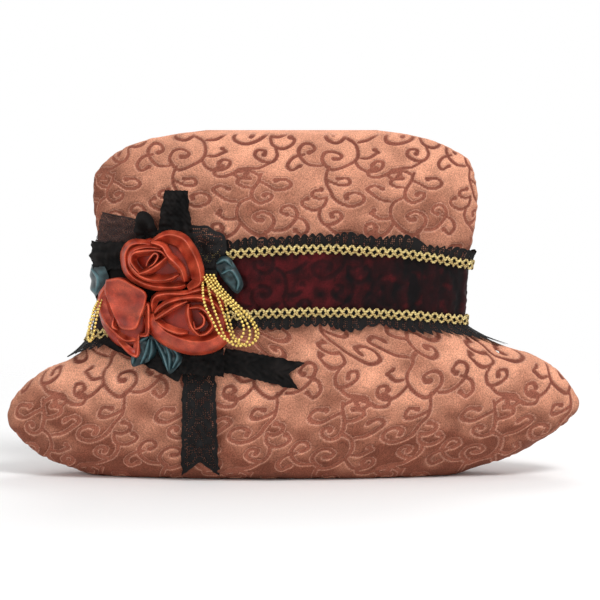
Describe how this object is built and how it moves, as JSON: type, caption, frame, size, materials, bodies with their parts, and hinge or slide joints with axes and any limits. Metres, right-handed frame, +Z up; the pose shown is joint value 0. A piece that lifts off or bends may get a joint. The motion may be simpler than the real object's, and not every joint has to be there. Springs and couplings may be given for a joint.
{
  "type": "hat-shaped cushion",
  "caption": "Stuffed decorative cushion shaped like a brimmed hat, with a velvet band, gold braid, black lace, and a corsage of satin roses, ribbon tails and beaded strings.",
  "frame": {"origin": "middle of the flat base, in the plane of the side seam", "axes": "+X along the width, to the right as seen from the front; +Y to the back; +Z up"},
  "size_m": [0.508, 0.1507, 0.3045],
  "materials": {
    "cut_velvet": "matt pile with embossed scrolls",
    "base_cloth": "plain matt pile",
    "stuffing": "matt fibre",
    "band_velvet": "plain velvet, gathered",
    "gold_gimp": "metallic thread",
    "black_lace": "open net with corded scallops",
    "rose_satin": "satin",
    "leaf_satin": "satin",
    "black_ribbon": "satin",
    "tulle": "sheer net",
    "felt": "matt felt",
    "gold_beads": "metallised, glossy",
    "thread": "matt thread"
  },
  "bodies": {
    "cushion": {"front_panel": "cut_velvet", "back_panel": "cut_velvet", "base_panel": "base_cloth", "filling": "stuffing", "hat_band": "band_velvet", "gold_braid_upper": "gold_gimp", "gold_braid_lower": "gold_gimp", "lace_ruffle_upper": "black_lace", "lace_ruffle_lower": "black_lace", "lace_loop_right": "black_lace", "corsage_felt": "felt", "rose_top": "rose_satin", "rose_left": "rose_satin", "rose_right": "rose_satin", "leaf_right": "leaf_satin", "leaf_left": "leaf_satin", "leaf_bottom_left": "leaf_satin", "leaf_bottom_right": "leaf_satin", "ribbon_tail_up": "black_ribbon", "ribbon_tail_left": "black_ribbon", "ribbon_tail_lower_left": "black_ribbon", "ribbon_knot": "black_ribbon", "ribbon_loop_upper": "black_ribbon", "tulle_tail": "tulle"},
    "lace_tail": {"lace_tail": "black_lace"},
    "ribbon_tail_right": {"ribbon_tail_right": "black_ribbon"},
    "bead_bunch_right": {"bead_tie_right": "thread", "bead_loop_right_1": "gold_beads", "bead_loop_right_2": "gold_beads", "bead_loop_right_3": "gold_beads", "bead_loop_right_4": "gold_beads"},
    "bead_bunch_left": {"bead_tie_left": "thread", "bead_loop_left_1": "gold_beads", "bead_loop_left_2": "gold_beads"}
  },
  "joints": [
    {"name": "lace_tail_lift", "type": "hinge", "parent": "cushion", "child": "lace_tail", "pos_m": [-0.0805, -0.0543, 0.0915], "axis": [-0.9967, 0.0815, 0], "range_deg": [0, 60]},
    {"name": "ribbon_tail_lift", "type": "hinge", "parent": "cushion", "child": "ribbon_tail_right", "pos_m": [-0.0555, -0.05155, 0.106], "axis": [-0.203, -0.2375, -0.9499], "range_deg": [0, 45]},
    {"name": "bead_bunch_right_swing", "type": "hinge", "parent": "cushion", "child": "bead_bunch_right", "pos_m": [-0.0723, -0.05954, 0.181], "axis": [-0.9903, 0.1392, 0], "range_deg": [0, 35]},
    {"name": "bead_bunch_left_swing", "type": "hinge", "parent": "cushion", "child": "bead_bunch_left", "pos_m": [-0.1664, -0.0259, 0.158], "axis": [-0.7986, 0.6018, 0], "range_deg": [0, 35]}
  ]
}
